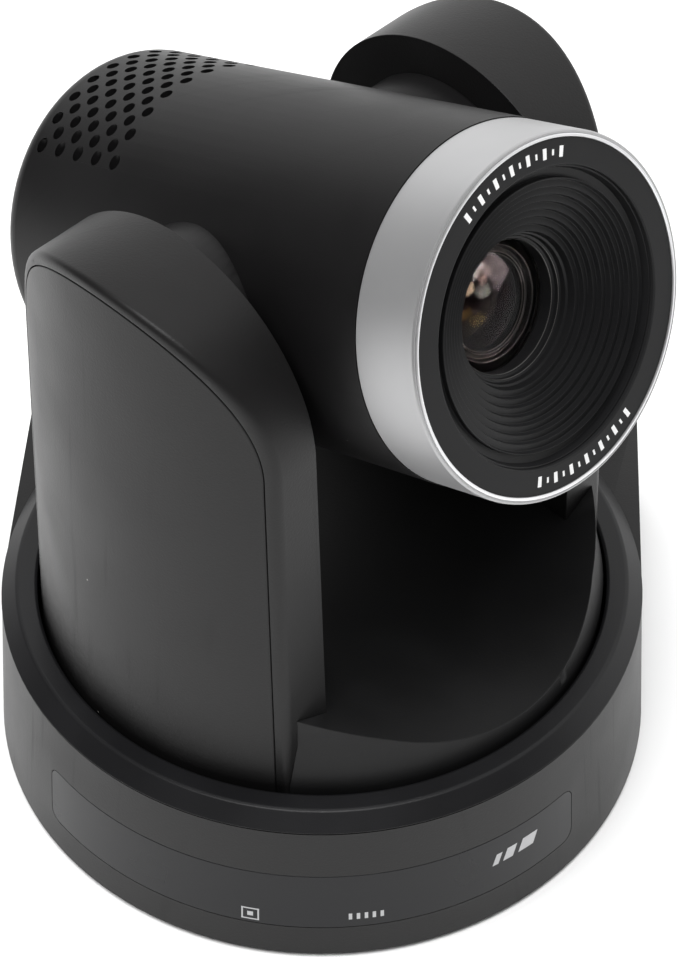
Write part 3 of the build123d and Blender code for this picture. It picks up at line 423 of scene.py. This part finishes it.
# %% [markdown]
# ### The vent holes
# The sleeve's top half is copied too, and every vent hole in it is made wider. Each corner
# of a hole moves straight out from the hole's middle, and keeps its distance from the lens
# axis, so the sleeve stays round. The old corner normals ride through the merge as an
# attribute and are put back: a long smooth wall cut into thin triangles would shade in
# streaks without them.

# %% Widen the vent holes
def widened_vents(factor=1.58, pitch=(2.83, 6.0), rows=16, first=28.6, reach=0.9):
    """Copy the sleeve's top half with each vent hole made wider about its own middle."""
    holes = [((row - (rows - 1) / 2) * pitch[0], -(first + (k + row % 2 / 2) * pitch[1]))
             for row in range(rows) for k in range(5 - row % 2)]
    mesh = nodes["top_shell"].data.copy()
    mesh.name = "sleeve_top"
    kept = mesh.attributes.new("kept_normal", "FLOAT_VECTOR", "CORNER")
    kept.data.foreach_set("vector", [x for corner in mesh.corner_normals for x in corner.vector])
    shell = bmesh.new()
    shell.from_mesh(mesh)
    bmesh.ops.remove_doubles(shell, verts=shell.verts, dist=0.002 * MM)
    into_lens = HEAD.inverted()
    moved = 0
    for corner in shell.verts:
        place = into_lens @ corner.co / MM
        if place.y < 20:
            continue
        for x, z in holes:
            if Vector((place.x - x, place.z - z)).length < reach:
                wide = x + (place.x - x) * factor
                high = (place.x ** 2 + place.y ** 2 - wide * wide) ** 0.5
                corner.co = HEAD @ (Vector((wide, high, z + (place.z - z) * factor)) * MM)
                moved += 1
                break
    shell.to_mesh(mesh)
    shell.free()
    kept = mesh.attributes["kept_normal"]
    normals = [corner.vector.copy() for corner in kept.data]
    mesh.attributes.remove(kept)
    mesh.normals_split_custom_set(normals)
    put("sleeve_top", mesh, "head", sleeve_black, "black_shell", "top_shell")
    return moved


print("vent corners moved:", widened_vents())

# %% [markdown]
# ## Turned pieces
# The ring on the base, the silver ring, the black disc and the baffle are round. Each
# starts as an outline of a few (radius, height) points. bmesh.ops.spin turns the outline
# about Z into a closed skin, and a small bevel rounds its corners.

# %% The spinning helper
def spun(name, outline, body, material, slot, *replaced, place=HEAD, width=0.15, angle=20):
    """Spin a closed outline of (radius, height) points in millimetres, and put it in place."""
    turned = bmesh.new()
    corners = [turned.verts.new((radius * MM, 0, height * MM)) for radius, height in outline]
    edges = [turned.edges.new(pair) for pair in zip(corners, corners[1:] + corners[:1])]
    bmesh.ops.spin(turned, geom=corners + edges, cent=(0, 0, 0), axis=(0, 0, 1), angle=tau,
                   steps=160, use_merge=True)
    bmesh.ops.remove_doubles(turned, verts=turned.verts, dist=0.001 * MM)
    loose = [edge for edge in turned.edges if not edge.link_faces]
    bmesh.ops.delete(turned, geom=loose, context="EDGES")
    bmesh.ops.recalc_face_normals(turned, faces=turned.faces)
    bmesh.ops.transform(turned, matrix=place, verts=turned.verts)
    mesh = bpy.data.meshes.new(name)
    turned.to_mesh(mesh)
    turned.free()
    mesh.shade_smooth()
    mesh.set_sharp_from_angle(angle=radians(angle))
    piece = put(name, mesh, body, material, slot, *replaced)
    return soften(piece, width, 2, angle) if width else piece


# %% [markdown]
# ### The ring on the base
# A separate moulding lies on the case: it climbs from a thin outer edge to a crest and
# drops into the bore that the turret turns in. The two rounded edges are what one sees.

# %% Spin the base ring
ring_outline = [
    (71.8, 38.9), (72.4, 39.4), (68.9, 42.55), (68.2, 42.75), (64.6, 42.6), (64.0, 42.1),
    (64.0, 36.3), (65.9, 36.3), (65.9, 38.9),
]
spun("base_ring", ring_outline, "base", ring_black, "ring_black", "top_ring", place=ROW,
     width=0.25, angle=15)

# %% [markdown]
# ### The silver ring
# The only bright piece: a painted sleeve in front of the head, with a thin lip that stands
# around the black disc. The lip is the same silver, given a paler tone all the way round as
# a painted highlight.

# %% Spin the silver ring
silver_outline = [
    (35.7, 48.92), (35.7, 63.7), (35.35, 64.05), (34.95, 63.9), (34.3, 63.6), (34.3, 48.92),
]
spun("front_ring", silver_outline, "head", silver_paint, "silver", "silver_ring")
# The lip's pale silver is a painted highlight on a silver lip.
lip_outline = [
    (34.95, 63.85), (34.9, 64.12), (34.75, 64.2), (34.4, 64.2), (34.28, 64.05), (34.28, 63.4),
    (34.6, 63.4),
]
spun("front_lip", lip_outline, "head", lip_highlight_silver, "silver", width=0.04)

# %% [markdown]
# ### The black disc and the baffle
# Inside the lip lies a flat black disc. Behind it a baffle falls away in ridges, each with a
# crest that shows as a thin line and a groove behind it, so stray light is trapped before it
# reaches the glass. The ridges are equal steps, so a loop writes the outline.

# %% Spin the disc and the baffle
disc_outline = [(34.25, 61.5), (34.25, 63.9), (29.3, 63.9), (29.0, 63.7), (29.0, 61.5)]
spun("front_disc", disc_outline, "head", disc_black, "face_black", "face_plate", width=0.12)


def baffle_outline(ridges=8, first=(26.2, 62.3), throat=(15.3, 55.9)):
    tread = (first[0] - throat[0]) / (ridges - 1)
    rise = (first[1] - throat[1]) / (ridges - 1)
    points = [(29.0, 63.0), (28.6, 63.0), (28.2, 61.3), (26.5, 61.1)]
    for k in range(ridges):
        radius = first[0] - k * tread
        height = first[1] - k * rise
        points += [(radius + 0.25, height - 0.12), (radius, height)]
        points += [(radius - 0.28, height - 1.25 * rise)]
    points += [(14.95, 54.3), (14.5, 54.1), (14.35, 53.0), (13.9, 52.8), (13.8, 51.9)]
    points += [(13.2, 51.7), (13.1, 51.4), (13.1, 48.95)]
    return points + [(19.9, 48.2), (22.0, 51.1), (29.0, 59.0)]


spun("baffle", baffle_outline(), "head", baffle_black, "baffle_black", "lens_hood", width=0.1,
     angle=25)
print("baffle outline has", len(baffle_outline()), "points")

# %% [markdown]
# ### The front glass and what shows behind it
# The front glass is a curved shell of even thickness. Behind it one sees a dark cell with
# three fine edges, and a smaller lens whose coating shines pink and amber. The shell is a
# real glass solid; the cell and the inner lens are separate turned pieces, so light can pass
# between them.

# %% Spin the glass and its cell
def dome_outline(radius, low, high, rise, count=14):
    """Half the section of a lens: a flat back and a round front that meets the axis."""
    ball = (radius * radius + rise * rise) / (2 * rise)
    centre = high + rise - ball
    points = [(0.0, low), (radius, low)]
    for k in range(count + 1):
        r = radius * (1 - k / count)
        points.append((r, centre + (ball * ball - r * r) ** 0.5))
    return points


def meniscus_outline(radius, high, rise, thickness):
    """A glass shell of even thickness: its front to the axis, then its back outwards."""
    front = dome_outline(radius, high, high, rise)[2:]
    return front + [(r, height - thickness) for r, height in reversed(front)]


spun("front_dome", meniscus_outline(13.9, 48.0, 4.5, 1.2), "head", lens_glass, "lens_glass",
     "front_glass", width=0)
cell_outline = [
    (13.9, 46.7), (13.3, 46.7), (12.6, 47.1), (11.5, 47.8), (11.2, 47.8), (10.8, 47.1),
    (10.0, 47.2), (9.8, 47.5), (9.5, 47.2), (9.4, 46.5), (9.4, 43.0), (13.9, 43.0),
]
spun("glass_cell", cell_outline, "head", cell_black, "baffle_black", width=0.12)
spun("inner_dome", dome_outline(9.3, 44.0, 45.6, 2.2), "head", coated_glass, "lens_glass",
     width=0)


def edge_highlight_ring(name, radius, height, thickness=0.12):
    """A fine grey ring on an edge, painted paler than the black around it as a painted
    highlight.
    """
    outline = [(radius - thickness, height), (radius, height + thickness)]
    outline += [(radius + thickness, height), (radius, height - thickness)]
    return spun(name, outline, "head", edge_highlight_grey, "baffle_black", width=0)


# Grey rings on the edges of the cell and the throat: painted highlights where black edges catch
# light.
for k, (radius, height) in enumerate([(11.35, 47.85), (9.85, 47.55), (9.45, 47.25)]):
    edge_highlight_ring(f"cell_edge_{k + 1}", radius, height)
edge_highlight_ring("throat_edge", 13.15, 51.72, 0.1)
edge_highlight_ring("throat_edge_outer", 13.9, 52.8, 0.08)

# %% [markdown]
# ## Printed marks
# Small printed marks sit on the disc and on the window. They are thin raised prints: a flat
# grid cut to size, given a thickness of a few hundredths of a millimetre, then bent on to
# its surface. The real thing carries words, and here plain ticks and stripes stand in.

# %% Marks on the disc
def printed(name, bars, bend, body, material, slot):
    """Each bar is (x, y, width, height, slant) in millimetres; bend puts (x, y) in the row."""
    print_mesh = bmesh.new()
    for x, y, width, height, slant in bars:
        made = bmesh.ops.create_grid(print_mesh, x_segments=4, y_segments=1, size=0.5)
        for corner in made["verts"]:
            along = corner.co.x * width + corner.co.y * slant
            up = corner.co.y * height
            corner.co = bend(x + along, y + up)
    faces = print_mesh.faces[:]
    bmesh.ops.recalc_face_normals(print_mesh, faces=faces)
    bmesh.ops.solidify(print_mesh, geom=faces, thickness=0.04 * MM)
    bmesh.ops.recalc_face_normals(print_mesh, faces=print_mesh.faces)
    mesh = bpy.data.meshes.new(name)
    print_mesh.to_mesh(mesh)
    print_mesh.free()
    return put(name, mesh, body, material, slot)


MARK_RADIUS = 31.6


def on_disc(x, y):
    """x runs round the disc clockwise from the top at its middle radius, y outwards."""
    angle = pi / 2 - x / MARK_RADIUS
    reach = MARK_RADIUS + y
    return HEAD @ (Vector((cos(angle) * reach, sin(angle) * reach, 63.93)) * MM)


def scale_bars(centre, spacing=2.2):
    """A plain scale: broad tall ticks and thin short ones between them."""
    sizes = [(0.95, 2.1), (0.5, 1.1)]
    return [(centre + k * spacing, 0.0, *sizes[k % 2], 0.0) for k in range(-6, 7)]


top_centre = -0.3
low_centre = top_centre + MARK_RADIUS * pi
ticks = scale_bars(top_centre) + scale_bars(low_centre)
printed("disc_scale", ticks, on_disc, "head", mark_white, "silver")


# %% Marks on the window
CASE_RADIUS = 75.0
CASE_TAPER = 0.0719
PRINT_LIFT = 0.02


def on_window(x, y):
    """x is the distance round the case from its front, y the height above the desk face."""
    radius = CASE_RADIUS - CASE_TAPER * y + PRINT_LIFT
    angle = x / CASE_RADIUS
    return Vector((radius * sin(angle), -radius * cos(angle), y)) * MM


sensor_mark = [
    (-11.8, 9.9, 4.0, 0.35, 0), (-11.8, 13.3, 4.0, 0.35, 0), (-13.6, 11.6, 0.35, 3.4, 0),
    (-10.0, 11.6, 0.35, 3.4, 0), (-11.8, 11.6, 1.3, 1.3, 0),
]
lamp_mark = [(10.2 + k * 1.75, 12.2, 0.75, 1.9, 0) for k in range(5)]
stripes = [
    (44.6, 18.2, 1.5, 3.2, 1.1), (48.0, 18.4, 2.6, 3.4, 1.2), (53.0, 18.6, 4.2, 3.6, 1.3),
]
printed("window_prints", sensor_mark + lamp_mark, on_window, "base", mark_grey, "silver")
printed("window_stripes", stripes, on_window, "base", mark_grey, "silver")

# %% [markdown]
# ## Floor, light and camera
# The camera stands on a pale floor in an even white studio. Black plastic shows mostly what
# it reflects, so the white surround does most of the work, and soft lights shape it.

# %% Floor
floor_mesh = bmesh.new()
bmesh.ops.create_grid(floor_mesh, x_segments=1, y_segments=1, size=3.0)
bmesh.ops.translate(floor_mesh, verts=floor_mesh.verts, vec=(0, 0, model_box[0][2] - 0.05 * MM))
floor_data = bpy.data.meshes.new("floor")
floor_mesh.to_mesh(floor_data)
floor_mesh.free()
floor = bpy.data.objects.new("floor", floor_data)
bpy.context.scene.collection.objects.link(floor)
floor_white = finish("floor_white", (0.86, 0.86, 0.86), 0.7, drift=0.01, cloud=4, depth=0.0)
floor_data.materials.append(floor_white)

# %% Lights
def soft_light(name, place, size, power, target=(0, 0, 0.08), glossy=False):
    lamp = bpy.data.lights.new(name, "AREA")
    lamp.shape = "RECTANGLE"
    lamp.size, lamp.size_y = size
    lamp.energy = power
    holder = bpy.data.objects.new(name, lamp)
    bpy.context.scene.collection.objects.link(holder)
    holder.location = place
    aim = Vector(target) - Vector(place)
    holder.rotation_euler = aim.to_track_quat("-Z", "Y").to_euler()
    holder.visible_glossy = glossy
    return holder


overhead = soft_light("overhead", (-0.2, -0.3, 1.6), (1.6, 1.6), 52.0)
overhead.visible_transmission = False

# %% A strip for the edges
def lit_only(holder, *names):
    """Light linking: the lamp reaches only the named pieces."""
    chosen = bpy.data.collections.new(f"{holder.name}_only")
    for name in names:
        chosen.objects.link(bpy.data.objects[name])
    holder.light_linking.receiver_collection = chosen


edge_strip = soft_light("edge_strip", (0.0, -0.40, 1.3), (0.6, 0.16), 8.0, glossy=True)
lit_only(edge_strip, "deck", "base_ring", "case", "window", "arm_left", "arm_right")

# %% [markdown]
# A lens looks alive only when it mirrors a lamp. Four small soft boxes stand to the right,
# and light linking keeps them to the glass, so the case isn't touched. Each is given by its
# compass and height angles as seen from the glass, and by how bright its face is.

# %% Glints in the glass
glass_place = HEAD @ (Vector((0, 0, 50)) * MM)


def glint(name, compass, height, size, radiance, colour, away=0.9):
    turn, lift = radians(compass), radians(height)
    way = Vector((sin(turn) * cos(lift), -cos(turn) * cos(lift), sin(lift)))
    power = radiance * pi * size[0] * size[1]
    holder = soft_light(name, glass_place + way * away, size, power, glass_place, glossy=True)
    holder.data.color = colour
    lit_only(holder, "front_dome", "inner_dome")


glint("glint_high", 92, 17, (0.34, 0.34), 17.0, (1.0, 0.80, 0.82))
glint("glint_low", 68, 15, (0.20, 0.14), 42.0, (1.0, 0.94, 0.84))
glint("glint_edge", 74, 32, (0.30, 0.06), 90.0, (1.0, 1.0, 1.0))
glint("glint_warm", 56, -6, (0.20, 0.20), 7.0, (0.75, 0.55, 0.18))

# %% [markdown]
# The surround is bright behind the object and dim in front of it: a black shape then keeps
# dark faces and pale outlines. The world's direction vector drives a soft ramp.

# %% Surround
world = bpy.data.worlds.new("studio")
world.use_nodes = True
tree = world.node_tree
direction = add(tree, "ShaderNodeSeparateXYZ")
direction_turn = add(tree, "ShaderNodeVectorRotate", rotation_type="Z_AXIS")
direction_turn.inputs["Angle"].default_value = radians(22)
outward = add(tree, "ShaderNodeTexCoord").outputs["Generated"]
tree.links.new(outward, direction_turn.inputs["Vector"])
tree.links.new(direction_turn.outputs["Vector"], direction.inputs["Vector"])
ramp = add(tree, "ShaderNodeMapRange", interpolation_type="SMOOTHSTEP")
tree.links.new(direction.outputs["Y"], ramp.inputs["Value"])
limits = {"From Min": 0.05, "From Max": 0.6, "To Min": 0.09, "To Max": 1.22}
for socket, value in limits.items():
    ramp.inputs[socket].default_value = value
tree.links.new(ramp.outputs["Result"], tree.nodes["Background"].inputs["Strength"])
tree.nodes["Background"].inputs["Color"].default_value = (1, 1, 1, 1)
bpy.context.scene.world = world

# %% Camera
eye = bpy.data.cameras.new("view")
eye.sensor_width = 36
eye.lens = 108.72
eye.clip_start = 0.01
viewer = bpy.data.objects.new("view", eye)
bpy.context.scene.collection.objects.link(viewer)
viewer.location = (0.02515, -0.4362, 0.5259)
aim = Vector((0.00387, 0.00022, 0.07136)) - viewer.location
roll = Matrix.Rotation(radians(0.135), 3, "Z")
viewer.rotation_euler = (aim.to_track_quat("-Z", "Y").to_matrix() @ roll).to_euler()
bpy.context.scene.camera = viewer
bpy.context.scene.view_settings.view_transform = "Standard"
